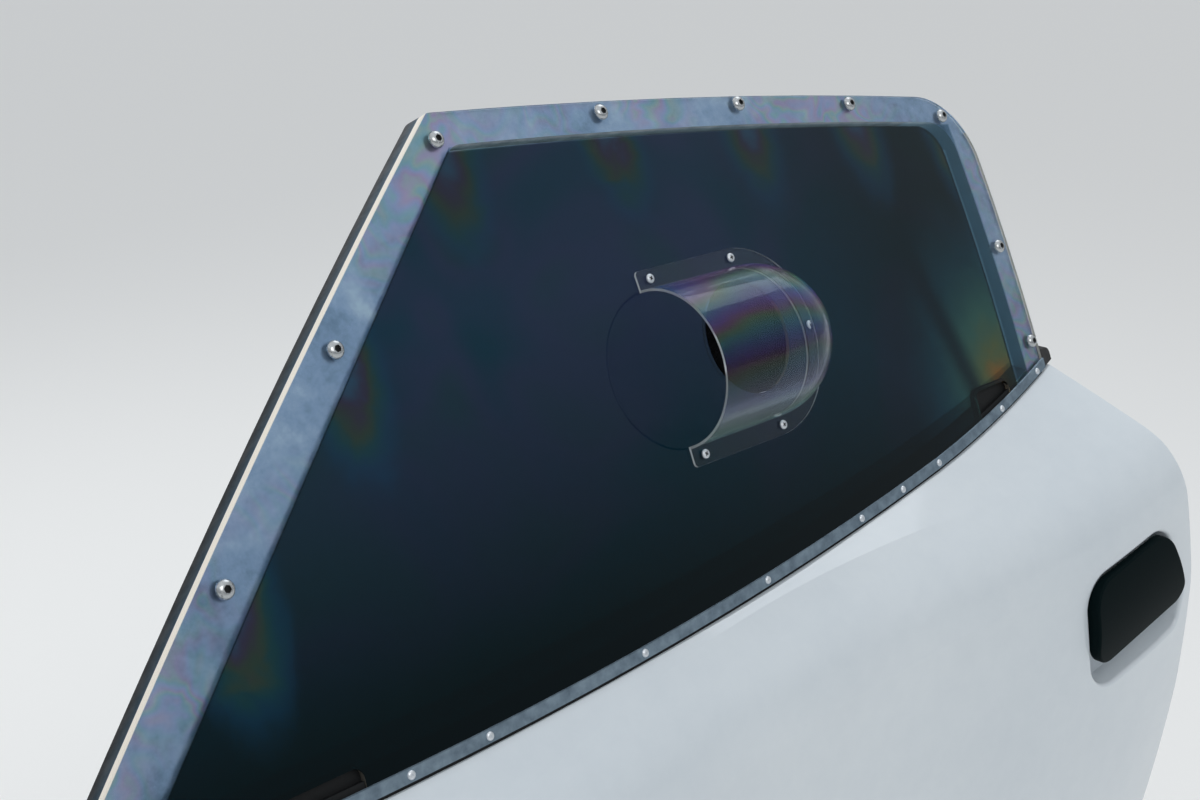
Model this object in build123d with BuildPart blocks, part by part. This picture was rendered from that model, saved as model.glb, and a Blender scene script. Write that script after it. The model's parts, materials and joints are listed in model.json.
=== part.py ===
from build123d import *

import os
from math import cos, radians, sin, sqrt

# Left door of a race car, in millimetres
# X runs to the front of the car, Y runs outward to the left, Z runs up
# The origin is the middle of the four hinge bolts, on the outboard face of the body's front post

# Pane: a polycarbonate sheet, bent to a part of a cylinder whose axis lies along the car
pane_radius = 2500
pane_thickness = 5
pane_bed = 0.3  # bond line between the pane and what is screwed to it
pane_tilt = 25.35  # lean of the pane inward at the vent, in degrees
vent_x = -745
vent_y = -25
vent_z = 435
vent_diameter = 100

# Window outline, measured from the vent: u runs rearward and v up along the pane
window_low_front = (-746, -245)
window_top_front = (-258, 234)
window_top_rear = (417, 169)
window_front_bow = 12.2
window_top_bow = 7.8
window_front_radius = 14
window_rear_radius = 78
opening_low_front = (-692, -245)
opening_top_front = (-240, 206.5)
opening_top_rear = (389.5, 146.7)
opening_front_bow = 5.5
opening_top_bow = 7
opening_front_radius = 18
opening_rear_radius = 36
window_bottom_v = -330  # below the belt, where the outlines close

# Channel that holds the pane
frame_sheet = 1.6
frame_depth = 17

# Belt line in side view: level at the front, then two arcs that climb to the rear
belt_front_z = 235.5
belt_bend_x = -298
belt_mid_x = -949
belt_front_radius = 4600
belt_rear_radius = 1334
strip_height = 10
strip_thickness = 1.5
belt_gap = 3  # dark gap between the strip and the skin
pane_lift = 1  # the pane's lower edge stands this far above the shell's ledge

# Door outline in side view
door_front_x = 4
door_front_low = (-4, -60)
door_front_foot = (-20, -255)
door_rear_top = (-1150, 372)
door_rear_shoulder = (-1204, 262)
door_rear_upper = (-1243, 110)
door_rear_lower = (-1243, -10)
door_rear_foot = (-1208, -255)
door_top_z = 420
front_foot_radius = 60
rear_foot_radius = 85
rear_edge_radius = 160
shoulder_edge_radius = 60

# Skin sections: x, angle of the normal at the belt, length of the upper arc, shoulder radius
skin_sections = [
    (60, 58, 26, 112),
    (-545, 60, 14, 105),
    (-895, 66, 39, 100),
    (-1205, 62, 113, 98),
    (-1290, 62, 122, 98),
]
skin_upper_radius = 2500
skin_lower_radius = 1800
shoulder_end = 4  # angle where the shoulder meets the lower arc, in degrees
skin_above_belt = 24
skin_below = 640
skin_sheet = 2

# Inner shell
shell_inboard_y = -15
shell_sheet = 2.5
shell_gap = 0.3  # bond line between skin and shell
shell_inset = 3
hem_width = 14
jamb_x = -90
pocket_y = 60
pocket_top_z = 185
pocket_top_y = 20
recess_y = 80
recess_half_height = 40

# Hinges
hinge_spacing = 270
hinge_bolt_spacing = 40
hinge_bolt_diameter = 8.5
hinge_leaf = 6
hinge_pad_height = 44
hinge_pad_length = 68
pin_x = -55
pin_y = 50
pin_diameter = 8
pin_clearance = 0.05
knuckle_radius = 9
knuckle_gap = 0.5
pin_head = 3
pin_head_rim = 2
pin_end = 4
hinge_corner = 6
knuckle_root = 7
door_leaf_y = 3
door_leaf_reach = 50
door_knuckle_drop = 14

# Vent scoop, in the same u and v
scoop_v = -6.5
scoop_radius = 67.5
scoop_wall = 2
scoop_front_u = -107.7
scoop_dome_u = 4
scoop_flange_radius = 83.3
scoop_flange = 2
scoop_corner_radius = 4

# Notches in the pane's lower edge: rear x, front x, height above the belt line
pane_notches = [
    (-1093, -1035, 24),
    (-263, -180, 19),
]
notch_radius = 8

# Outer handle: a paddle over a pocket, corners from its middle in side view as x, z and radius
handle_x = -1135
handle_z = 124
flap_corners = [(91, 34, 29), (-37, 61, 34), (-88, -24, 17), (76, -59, 29)]
cup_corners = [(94, 37, 31), (-39, 64, 36), (-91, -23, 20), (-83, -60, 16), (70, -88, 38)]
cup_depth = 26
cup_wall = 2
cup_rim = 6
cup_roll = 4
cup_clearance = 1
flap_depth = 3  # inner face of the paddle below the skin
flap_proud = 9  # middle of its outer face above the skin
flap_crown_radius = 200
flap_lean = 12  # fall of the paddle's crown to the front, in degrees
flap_crown_reach = 70
flap_post_offset = 34
flap_post_rise = 22
flap_post_fall = 20
flap_post_radius = 7
flap_gap = 0.3
flap_edge = 2.5

# Latch
latch_z = 50
latch_height = 66
latch_depth = 24
latch_width = 52
latch_slot = 15
latch_slot_depth = 34
latch_plate = 3
latch_corner = 8
fork_thickness = 6
fork_clearance = 0.5
fork_radius = 18
fork_pin_radius = 5
fork_jaw = 11
fork_jaw_length = 26
fork_turn = 20
fork_pin_back = 8
fork_pin_rise = 12
fork_jaw_rise = 4
way_margin = 10

# Rubber block at the rear lower corner of the window
corner_length = 16
corner_height = 18
corner_radius = 6

# Inside trim
card_sheet = 2.5
card_inset = 40
card_radius = 30
card_bead_x = -660
card_bead_heights = [-60, -110, -160]
card_bead_length = 860
card_bead_width = 24
card_bead_rise = 3
card_bead_round = 2.5
seal_height = 9
seal_width = 11
seal_inset = 9
seal_round = 4
strap_x = -690
strap_z = 60
strap_span = 190
strap_width = 32
strap_sheet = 2.5
strap_rise = 38
strap_tab = 26
anchor_sheet = 2
anchor_shift = 3
anchor_margin = 4
anchor_corner = 4
lever_x = -330
lever_z = 130
lever_length = 92
lever_width = 22
lever_thickness = 6
lever_proud = 3
lever_round = 3
lever_pivot_inset = 8
lever_pivot_radius = 6
bezel_length = 120
bezel_height = 52
bezel_depth = 10
bezel_wall = 5
bezel_floor = 2
bezel_round = 2

# Mirror: shell sections from the glass to the nose, as x, width, height and corner radius
mirror_sections = [
    (-110, 150, 86, 30),
    (-97, 151, 87, 31),
    (-72, 142, 80, 34),
    (-50, 112, 60, 28),
    (-36, 66, 34, 16),
]
mirror_nose_round = 8
mirror_glass_inset = 2
mirror_glass_sheet = 4
mirror_y = 190
mirror_z = 276
mirror_wall = 3
mirror_foot_x = -82
mirror_foot_length = 74
mirror_foot_width = 30
mirror_foot_height = 9
mirror_foot_sink = 15  # below the skin before it is cut to the skin
mirror_arm_length = 26
mirror_arm_width = 16
mirror_arm_shift = 18

pane_axis_y = vent_y - pane_radius * cos(radians(pane_tilt))
pane_axis_z = vent_z - pane_radius * sin(radians(pane_tilt))
pane_plane = Plane(
    origin=(vent_x, vent_y, vent_z),
    x_dir=(-1, 0, 0),
    z_dir=(0, cos(radians(pane_tilt)), sin(radians(pane_tilt))),
)
far = 3000
cut_reach = 300  # longer than any cut across the door
front_end = 200
rear_end = -1500
pane_reach = (360, 640)  # part of the pane's cylinder that is kept, in Y and Z


# Height of the belt line at a place along the car
def belt_z(x):
    if x >= belt_bend_x:
        return belt_front_z
    if x >= belt_mid_x:
        return belt_front_z + (belt_bend_x - x) ** 2 / (2 * belt_front_radius)
    run = belt_bend_x - belt_mid_x
    back = belt_mid_x - x
    middle = belt_front_z + run**2 / (2 * belt_front_radius)
    return middle + back * run / belt_front_radius + back**2 / (2 * belt_rear_radius)


# Outboard face of the pane at a height, or a surface at a depth below it
def pane_y(z, depth=0):
    return pane_axis_y + sqrt((pane_radius - depth) ** 2 - (z - pane_axis_z) ** 2)


# Sheet that follows the pane between two depths below its outboard face
def pane_sheet(top, bottom):
    with BuildPart() as sheet:
        with BuildSketch(Plane.YZ.offset(rear_end)):
            with Locations((pane_axis_y, pane_axis_z)):
                Circle(pane_radius - top)
                Circle(pane_radius - bottom, mode=Mode.SUBTRACT)
            with Locations((vent_y, vent_z)):
                Rectangle(*pane_reach, mode=Mode.INTERSECT)
        extrude(amount=front_end - rear_end)
    return sheet.part


# Side view region above the belt line, moved up by a rise
def above_belt(rise):
    def at(x):
        return (x, belt_z(x) + rise)

    with BuildPart() as region:
        with BuildSketch(Plane.XZ):
            with BuildLine():
                Line(at(front_end), at(belt_bend_x))
                ThreePointArc(at(belt_bend_x), at((belt_bend_x + belt_mid_x) / 2), at(belt_mid_x))
                ThreePointArc(at(belt_mid_x), at((belt_mid_x + rear_end) / 2), at(rear_end))
                Polyline(at(rear_end), (rear_end, far), (front_end, far), at(front_end))
            make_face()
        extrude(amount=far / 2, both=True)
    return region.part


# Block along the pane's normal: straight outline grown first, then its edges bowed and corners rounded
def window_block(low_front, top_front, top_rear, front_bow, top_bow, front_radius, rear_radius, grow=0):
    low_rear = (top_rear[0], window_bottom_v)
    foot = (low_front[0], window_bottom_v)
    corners = [low_front, top_front, top_rear, low_rear, foot]
    if grow:
        with BuildSketch() as grown:
            with BuildLine():
                Polyline(*corners, close=True)
            make_face()
            offset(amount=grow, kind=Kind.INTERSECTION)
        corners = [tuple(grown.vertices().sort_by_distance(corner)[0])[:2] for corner in corners]
    with BuildPart() as block:
        with BuildSketch(pane_plane) as side:
            with BuildLine():
                SagittaArc(corners[0], corners[1], front_bow)
                SagittaArc(corners[1], corners[2], top_bow)
                Polyline(corners[2], corners[3], corners[4], corners[0])
            make_face()
            fillet(side.vertices().sort_by_distance(corners[1])[0], front_radius + grow)
            fillet(side.vertices().sort_by_distance(corners[2])[0], rear_radius + grow)
        extrude(amount=cut_reach, both=True)
    return block.part


def window_outer(grow=0):
    return window_block(
        window_low_front,
        window_top_front,
        window_top_rear,
        window_front_bow,
        window_top_bow,
        window_front_radius,
        window_rear_radius,
        grow,
    )


def window_opening(grow=0):
    return window_block(
        opening_low_front,
        opening_top_front,
        opening_top_rear,
        opening_front_bow,
        opening_top_bow,
        opening_front_radius,
        opening_rear_radius,
        grow,
    )


# Points of a skin section at a depth below the outer face, from above the belt to below the door
def skin_points(section, depth):
    x, belt_angle, upper_length, shoulder_radius = section
    start_z = belt_z(x) - strip_height / 2 - belt_gap
    start_y = pane_y(start_z)
    upper = radians(belt_angle)
    shoulder = upper - upper_length / skin_upper_radius
    lower = radians(shoulder_end)
    top = upper + skin_above_belt / skin_upper_radius
    bottom = lower - skin_below / skin_lower_radius

    upper_y = start_y - skin_upper_radius * cos(upper)
    upper_z = start_z - skin_upper_radius * sin(upper)
    shoulder_y = upper_y + (skin_upper_radius - shoulder_radius) * cos(shoulder)
    shoulder_z = upper_z + (skin_upper_radius - shoulder_radius) * sin(shoulder)
    lower_y = shoulder_y + (shoulder_radius - skin_lower_radius) * cos(lower)
    lower_z = shoulder_z + (shoulder_radius - skin_lower_radius) * sin(lower)

    arcs = (
        (upper_y, upper_z, skin_upper_radius, top, shoulder),
        (shoulder_y, shoulder_z, shoulder_radius, shoulder, lower),
        (lower_y, lower_z, skin_lower_radius, lower, bottom),
    )
    points = []
    for centre_y, centre_z, radius, first, last in arcs:
        for angle in (first, (first + last) / 2, last):
            reach = radius - depth
            points.append((centre_y + reach * cos(angle), centre_z + reach * sin(angle)))
    return points


# Loft through the skin sections: between two depths, or all that lies inboard of one depth
def skin_loft(depth, inner_depth=None):
    with BuildPart() as body:
        for section in skin_sections:
            outer = skin_points(section, depth)
            with BuildSketch(Plane.YZ.offset(section[0])):
                with BuildLine():
                    for first in (0, 3, 6):
                        ThreePointArc(outer[first], outer[first + 1], outer[first + 2])
                    if inner_depth is None:
                        low_z = outer[8][1]
                        high_z = outer[0][1]
                        Polyline(outer[8], (-cut_reach, low_z), (-cut_reach, high_z), outer[0])
                    else:
                        inner = skin_points(section, inner_depth)
                        for first in (0, 3, 6):
                            ThreePointArc(inner[first], inner[first + 1], inner[first + 2])
                        Line(outer[8], inner[8])
                        Line(inner[0], outer[0])
                make_face()
        loft()
    return body.part


# Side outline of the door moved inward by an inset, below the belt line by a drop
def door_block(inset, drop, inboard_y, front_x=None, outboard_y=cut_reach):
    corners = [
        (door_front_x, door_top_z),
        door_front_low,
        door_front_foot,
        door_rear_foot,
        door_rear_lower,
        door_rear_upper,
        door_rear_shoulder,
        door_rear_top,
        (door_rear_top[0], door_top_z),
    ]
    rounds = (
        (door_front_foot, front_foot_radius),
        (door_rear_foot, rear_foot_radius),
        (door_rear_lower, rear_edge_radius),
        (door_rear_upper, rear_edge_radius),
        (door_rear_shoulder, shoulder_edge_radius),
    )
    with BuildPart() as block:
        with BuildSketch(Plane.XZ.offset(-inboard_y)) as side:
            with BuildLine():
                Polyline(*corners, close=True)
            make_face()
            for corner, radius in rounds:
                fillet(side.vertices().sort_by_distance(corner)[0], radius)
            if inset:
                offset(amount=-inset, kind=Kind.INTERSECTION)
            if front_x is not None:
                with Locations((front_x - far / 2, 0)):
                    Rectangle(far, far, mode=Mode.INTERSECT)
        extrude(amount=inboard_y - outboard_y)
        add(above_belt(-drop), mode=Mode.SUBTRACT)
    return block.part


# Room for the hinges in the front of the shell, grown by a wall
def hinge_pockets(grow):
    length = front_end - jamb_x
    rooms = [
        (pocket_y, -far / 2, pocket_top_z),
        (pocket_top_y, -far / 2, far / 2),
    ]
    for side in (-1, 1):
        middle = side * hinge_spacing / 2
        rooms.append((recess_y, middle - recess_half_height, middle + recess_half_height))
    with BuildPart() as pockets:
        for depth, low, high in rooms:
            with Locations((jamb_x - grow, depth + grow, low - grow)):
                Box(length, far, high - low + 2 * grow, align=(Align.MIN, Align.MAX, Align.MIN))
    return pockets.part


# Block along Y from an outline about the handle's middle
def handle_block(corners, grow=0):
    with BuildPart() as block:
        with BuildSketch(Plane.XZ) as side:
            with BuildLine():
                Polyline(*[(handle_x + x, handle_z + z) for x, z, radius in corners], close=True)
            make_face()
            for x, z, radius in corners:
                fillet(side.vertices().sort_by_distance((handle_x + x, handle_z + z))[0], radius)
            if grow:
                offset(amount=grow)
        extrude(amount=-cut_reach)
    return block.part


os.makedirs("parts", exist_ok=True)
strip_low = -strip_height / 2
strip_high = strip_height / 2
skin_drop = strip_height / 2 + belt_gap
ledge_drop = strip_height / 2
above_ledge = above_belt(-ledge_drop)

# Outer skin
skin_form = skin_loft(0)
cup_outer = handle_block(cup_corners, cup_rim)
cup_inner = handle_block(cup_corners)
with BuildPart() as outer_skin:
    add(skin_loft(0, skin_sheet))
    add(door_block(0, skin_drop, -cut_reach), mode=Mode.INTERSECT)
    add(cup_outer, mode=Mode.SUBTRACT)

# Way for the striker through the shell's rear jamb into the latch, open to the inboard side
jamb_rear_x = door_rear_upper[0] + shell_inset
with BuildPart() as striker_way:
    with Locations((jamb_rear_x - way_margin, shell_inboard_y - way_margin, latch_z)):
        Box(
            way_margin + latch_depth,
            way_margin + latch_slot_depth,
            latch_slot,
            align=(Align.MIN, Align.MIN, Align.CENTER),
        )

# Inner shell: a pressed pan with a hem against the skin
shell_depth = skin_sheet + shell_gap
with BuildPart() as shell_room:
    add(skin_loft(shell_depth + shell_sheet))
    add(
        door_block(shell_inset + shell_sheet, ledge_drop + shell_sheet, shell_inboard_y + shell_sheet),
        mode=Mode.INTERSECT,
    )
    add(hinge_pockets(shell_sheet), mode=Mode.SUBTRACT)
with BuildPart() as shell_mouth:
    add(door_block(shell_inset + hem_width, ledge_drop + hem_width, shell_inboard_y + shell_sheet))
    add(hinge_pockets(shell_sheet), mode=Mode.SUBTRACT)
with BuildPart() as inner_shell:
    add(skin_loft(shell_depth))
    add(door_block(shell_inset, ledge_drop, shell_inboard_y), mode=Mode.INTERSECT)
    add(hinge_pockets(0), mode=Mode.SUBTRACT)
    add(shell_room.part, mode=Mode.SUBTRACT)
    add(shell_mouth.part, mode=Mode.SUBTRACT)
    add(handle_block(cup_corners, cup_rim + cup_clearance), mode=Mode.SUBTRACT)
    add(striker_way.part, mode=Mode.SUBTRACT)

# Latch behind the rear jamb
latch_x = jamb_rear_x + shell_sheet
latch_y = shell_inboard_y + shell_sheet
fork_y = latch_y + latch_slot_depth - fork_pin_back
fork_z = latch_z + fork_pin_rise
with BuildPart() as latch_case:
    with Locations((latch_x, latch_y, latch_z)):
        Box(latch_depth, latch_width, latch_height, align=(Align.MIN, Align.MIN, Align.CENTER))
    fillet(latch_case.faces().sort_by(Axis.Y)[-1].edges().filter_by(Axis.X), latch_corner)
    with Locations((latch_x + latch_plate, latch_y, latch_z)):
        Box(
            fork_thickness + 2 * fork_clearance,
            latch_width - latch_plate,
            latch_height - 2 * latch_plate,
            align=(Align.MIN, Align.MIN, Align.CENTER),
            mode=Mode.SUBTRACT,
        )
    add(striker_way.part, mode=Mode.SUBTRACT)
    with BuildSketch(Plane.YZ.offset(latch_x)):
        with Locations((fork_y, fork_z)):
            Circle(fork_pin_radius)
    extrude(amount=latch_depth - latch_plate / 2)
with BuildPart() as latch_fork:
    with BuildSketch(Plane.YZ.offset(latch_x + latch_plate + fork_clearance)):
        with Locations((fork_y, fork_z)):
            Circle(fork_radius)
            Circle(fork_pin_radius + pin_clearance, mode=Mode.SUBTRACT)
        with Locations((fork_y - fork_radius, latch_z + fork_jaw_rise)):
            Rectangle(fork_jaw_length, fork_jaw, rotation=fork_turn, mode=Mode.SUBTRACT)
    extrude(amount=fork_thickness)

# Window frame: a channel open to the inboard side, standing on the shell's ledge
frame_face = pane_thickness + pane_bed
frame_back = frame_face + frame_depth
with BuildPart() as frame_hole:
    add(window_opening())
    add(above_belt(strip_high), mode=Mode.INTERSECT)
with BuildPart() as outer_core:
    add(window_outer(-frame_sheet))
    add(above_belt(strip_low + frame_sheet), mode=Mode.INTERSECT)
with BuildPart() as outer_wall:
    add(pane_sheet(frame_face + frame_sheet, frame_back))
    add(window_outer(), mode=Mode.INTERSECT)
    add(above_ledge, mode=Mode.INTERSECT)
    add(outer_core.part, mode=Mode.SUBTRACT)
with BuildPart() as inner_wall:
    add(pane_sheet(frame_face + frame_sheet, frame_back))
    add(window_opening(frame_sheet), mode=Mode.INTERSECT)
    add(above_belt(strip_high - frame_sheet), mode=Mode.INTERSECT)
    add(frame_hole.part, mode=Mode.SUBTRACT)
with BuildPart() as window_frame:
    add(pane_sheet(frame_face, frame_face + frame_sheet))
    add(window_outer(), mode=Mode.INTERSECT)
    add(above_ledge, mode=Mode.INTERSECT)
    add(frame_hole.part, mode=Mode.SUBTRACT)
    add(outer_wall.part)
    add(inner_wall.part)

# Notches in the lower edge of the pane
with BuildPart() as notches:
    for rear_x, front_x, height in pane_notches:
        top_z = belt_z((rear_x + front_x) / 2) + height
        with BuildSketch(Plane.XZ) as notch:
            with Locations(((rear_x + front_x) / 2, top_z)):
                Rectangle(front_x - rear_x, 2 * (height + strip_height), align=(Align.CENTER, Align.MAX))
            fillet(notch.vertices().group_by(Axis.Y)[-1], notch_radius)
        extrude(amount=cut_reach, both=True)

with BuildPart() as window_pane:
    add(pane_sheet(0, pane_thickness))
    add(window_outer(), mode=Mode.INTERSECT)
    add(above_belt(strip_low + pane_lift), mode=Mode.INTERSECT)
    add(notches.part, mode=Mode.SUBTRACT)
    with BuildSketch(pane_plane):
        Circle(vent_diameter / 2)
    extrude(amount=cut_reach, both=True, mode=Mode.SUBTRACT)

with BuildPart() as belt_strip:
    add(pane_sheet(-strip_thickness - pane_bed, -pane_bed))
    add(window_outer(), mode=Mode.INTERSECT)
    add(above_belt(strip_low + pane_lift), mode=Mode.INTERSECT)
    add(above_belt(strip_high), mode=Mode.SUBTRACT)

# Vent scoop: a half pipe with a round end on a flat flange
dome_centre = Plane(
    origin=pane_plane.from_local_coords(Vector(scoop_dome_u, scoop_v, 0)),
    x_dir=pane_plane.x_dir,
    z_dir=pane_plane.z_dir,
)
scoop_run = scoop_dome_u - scoop_front_u
scoop_end = Plane(origin=dome_centre.origin, x_dir=dome_centre.y_dir, z_dir=-dome_centre.x_dir)


# Half pipe and dome as a solid
def scoop_solid(radius, length):
    with BuildPart() as solid:
        with BuildSketch(scoop_end):
            Circle(radius)
        extrude(amount=length)
        with Locations(Location(dome_centre)):
            Sphere(radius)
    return solid.part


with BuildPart() as flange_block:
    with BuildSketch(dome_centre) as flange:
        Circle(scoop_flange_radius)
        with Locations((0, 0)):
            Rectangle(scoop_run, 2 * scoop_flange_radius, align=(Align.MAX, Align.CENTER))
        fillet(flange.vertices().group_by(Axis.X)[0], scoop_corner_radius)
    extrude(amount=cut_reach, both=True)
with BuildPart() as air_scoop:
    add(pane_sheet(-scoop_flange - pane_bed, -pane_bed))
    add(flange_block.part, mode=Mode.INTERSECT)
    add(scoop_solid(scoop_radius, scoop_run))
    add(scoop_solid(scoop_radius - scoop_wall, 2 * scoop_run), mode=Mode.SUBTRACT)
    add(pane_sheet(-pane_bed, cut_reach), mode=Mode.SUBTRACT)

# Rubber block at the rear lower corner of the window
corner_x = vent_x - window_top_rear[0] - shell_gap
corner_z = belt_z(corner_x) - ledge_drop
with BuildPart() as corner_block:
    add(pane_sheet(0, frame_back))
    with BuildSketch(Plane.XZ) as corner_side:
        with Locations((corner_x, corner_z - corner_height)):
            Rectangle(corner_length, 2 * corner_height, align=(Align.MAX, Align.MIN))
        fillet(corner_side.vertices().group_by(Axis.Y)[-1].sort_by(Axis.X)[0], corner_radius)
    extrude(amount=cut_reach, both=True, mode=Mode.INTERSECT)
    add(above_belt(-ledge_drop + shell_gap), mode=Mode.INTERSECT)

# Handle
with BuildPart() as handle_posts:
    with BuildSketch(Plane.XZ):
        with Locations(
            (handle_x - flap_post_offset, handle_z + flap_post_rise),
            (handle_x + flap_post_offset, handle_z + flap_post_rise - flap_post_fall),
        ):
            Circle(flap_post_radius)
    extrude(amount=-cut_reach)
    add(
        skin_loft(flap_depth + flap_gap, cup_depth - cup_wall / 2),
        mode=Mode.INTERSECT,
    )
with BuildPart() as handle_cup:
    add(skin_loft(0, cup_depth))
    add(cup_outer, mode=Mode.INTERSECT)
    add(cup_inner & skin_loft(-cup_wall, cup_depth - cup_wall), mode=Mode.SUBTRACT)
    fillet(handle_cup.faces().sort_by(Axis.Y)[-1].inner_wires()[0].edges(), cup_roll)
    add(handle_posts.part)
crown_ends = []
for side in (-1, 1):
    crown_x = handle_x + side * flap_crown_reach * cos(radians(flap_lean))
    crown_z = handle_z - side * flap_crown_reach * sin(radians(flap_lean))
    sight = Axis((crown_x, cut_reach, crown_z), (0, -1, 0))
    crown_y = max(point.Y for point, normal in skin_form.find_intersection_points(sight))
    crown_ends.append(Vector(crown_x, crown_y + flap_proud - flap_crown_radius, crown_z))
with BuildPart() as flap_crown:
    with BuildSketch(Plane(origin=crown_ends[0], z_dir=crown_ends[1] - crown_ends[0])):
        Circle(flap_crown_radius)
    extrude(amount=cut_reach, both=True)
with BuildPart() as handle_flap:
    add(handle_block(flap_corners))
    add(flap_crown.part, mode=Mode.INTERSECT)
    add(skin_loft(flap_depth), mode=Mode.SUBTRACT)
    fillet(handle_flap.faces().sort_by(Axis.Y)[-1].edges(), flap_edge)

# Seal and card on the inboard panel
panel_front = jamb_x
with BuildPart() as door_seal:
    add(
        door_block(
            seal_inset,
            ledge_drop + seal_inset,
            shell_inboard_y - seal_height,
            panel_front - seal_inset,
            shell_inboard_y,
        )
    )
    add(
        door_block(
            seal_inset + seal_width,
            ledge_drop + seal_inset + seal_width,
            shell_inboard_y - seal_height - 1,
            panel_front - seal_inset - seal_width,
            shell_inboard_y + 1,
        ),
        mode=Mode.SUBTRACT,
    )
    fillet(door_seal.faces().sort_by(Axis.Y)[0].edges(), seal_round)
with BuildPart() as door_card:
    add(
        door_block(
            card_inset,
            ledge_drop + card_inset,
            shell_inboard_y - card_sheet,
            panel_front - card_inset,
            shell_inboard_y,
        )
    )
    fillet(door_card.edges().filter_by(Axis.Y).group_by(Axis.X)[-1], card_radius)
    for bead_z in card_bead_heights:
        with BuildSketch(Plane.XZ.offset(-shell_inboard_y + card_sheet)):
            with Locations((card_bead_x, bead_z)):
                SlotOverall(card_bead_length, card_bead_width)
        extrude(amount=card_bead_rise)
    bead_faces = door_card.faces().filter_by(Axis.Y).group_by(Axis.Y)[0]
    fillet(bead_faces.edges(), card_bead_round)

# Pull strap and its two anchor plates
card_y = shell_inboard_y - card_sheet
strap_reach = strap_span / 2
with BuildPart() as pull_strap:
    with BuildSketch(Plane.XY.offset(strap_z - strap_width / 2)):
        with BuildLine():
            low = card_y - shell_gap
            high = low - strap_sheet
            for level, rise in ((low, strap_rise), (high, strap_rise)):
                Line((strap_x - strap_reach - strap_tab, level), (strap_x - strap_reach, level))
                ThreePointArc(
                    (strap_x - strap_reach, level),
                    (strap_x, level - rise),
                    (strap_x + strap_reach, level),
                )
                Line((strap_x + strap_reach, level), (strap_x + strap_reach + strap_tab, level))
            for end in (-1, 1):
                x = strap_x + end * (strap_reach + strap_tab)
                Line((x, low), (x, high))
        make_face()
    extrude(amount=strap_width)

strap_anchors = []
for side in (-1, 1):
    with BuildPart() as anchor:
        with BuildSketch(Plane.XZ.offset(-(high - shell_gap))):
            with Locations((strap_x + side * (strap_reach + strap_tab / 2 + anchor_shift), strap_z)):
                RectangleRounded(strap_tab, strap_width + 2 * anchor_margin, anchor_corner)
        extrude(amount=anchor_sheet)
    strap_anchors.append(anchor)

# Inner release lever in its bezel
with BuildPart() as release_bezel:
    with BuildSketch(Plane.XZ.offset(-card_y)):
        with Locations((lever_x, lever_z)):
            SlotOverall(bezel_length, bezel_height)
    extrude(amount=bezel_depth)
    fillet(release_bezel.faces().sort_by(Axis.Y)[0].edges(), bezel_round)
    with BuildSketch(Plane.XZ.offset(-card_y + bezel_floor)):
        with Locations((lever_x, lever_z)):
            SlotOverall(bezel_length - 2 * bezel_wall, bezel_height - 2 * bezel_wall)
    extrude(amount=bezel_depth, mode=Mode.SUBTRACT)
    with BuildSketch(Plane.XZ.offset(-card_y)):
        with Locations((lever_x + lever_length / 2 - lever_pivot_inset, lever_z)):
            Circle(lever_pivot_radius)
    extrude(amount=bezel_depth - lever_thickness - shell_gap)
with BuildPart() as release_lever:
    with BuildSketch(Plane.XZ.offset(-card_y + bezel_depth - lever_thickness)):
        with Locations((lever_x, lever_z)):
            SlotOverall(lever_length, lever_width)
    extrude(amount=lever_thickness + lever_proud)
    fillet(release_lever.faces().sort_by(Axis.Y)[0].edges(), lever_round)

# Mirror: foot on the skin, arm, shell and glass
with BuildPart() as mirror_form:
    for x, width, height, radius in mirror_sections:
        with BuildSketch(Plane.YZ.offset(x)):
            with Locations((mirror_y, mirror_z)):
                RectangleRounded(width, height, radius)
    loft()
    fillet(mirror_form.faces().sort_by(Axis.X)[-1].edges(), mirror_nose_round)
with BuildPart() as mirror_room:
    for x, width, height, radius in mirror_sections:
        with BuildSketch(Plane.YZ.offset(x - mirror_wall)):
            with Locations((mirror_y, mirror_z)):
                RectangleRounded(width - 2 * mirror_wall, height - 2 * mirror_wall, radius - mirror_wall)
    loft()
with BuildPart() as mirror_shell:
    add(mirror_form.part)
    add(mirror_room.part, mode=Mode.SUBTRACT)
rear_x, rear_width, rear_height, rear_radius = mirror_sections[0]
with BuildPart() as mirror_glass:
    with BuildSketch(Plane.YZ.offset(rear_x + mirror_glass_inset)):
        with Locations((mirror_y, mirror_z)):
            RectangleRounded(
                rear_width - 2 * mirror_wall - 2 * shell_gap,
                rear_height - 2 * mirror_wall - 2 * shell_gap,
                rear_radius - mirror_wall - shell_gap,
            )
    extrude(amount=mirror_glass_sheet)

foot_y, foot_z = skin_points(skin_sections[0], 0)[2]
foot_lean = radians(skin_sections[0][1])
foot_plane = Plane(
    origin=(mirror_foot_x, foot_y, foot_z),
    x_dir=(1, 0, 0),
    z_dir=(0, cos(foot_lean), sin(foot_lean)),
)
arm_start = Vector(mirror_foot_x, foot_y, foot_z)
arm_end = Vector(mirror_foot_x, mirror_y - mirror_arm_shift, mirror_z)
with BuildPart() as mirror_foot:
    with BuildSketch(foot_plane.offset(-mirror_foot_sink)):
        SlotOverall(mirror_foot_length, mirror_foot_width)
    extrude(amount=mirror_foot_sink + mirror_foot_height)
    add(skin_loft(-shell_gap), mode=Mode.SUBTRACT)
with BuildPart() as mirror_arm:
    with BuildSketch(Plane(origin=arm_start, x_dir=(1, 0, 0), z_dir=arm_end - arm_start)):
        Ellipse(mirror_arm_length / 2, mirror_arm_width / 2)
    extrude(amount=(arm_end - arm_start).length)
    add(mirror_form.part, mode=Mode.SUBTRACT)
    add(mirror_foot.part, mode=Mode.SUBTRACT)
    add(skin_loft(-shell_gap), mode=Mode.SUBTRACT)

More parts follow.
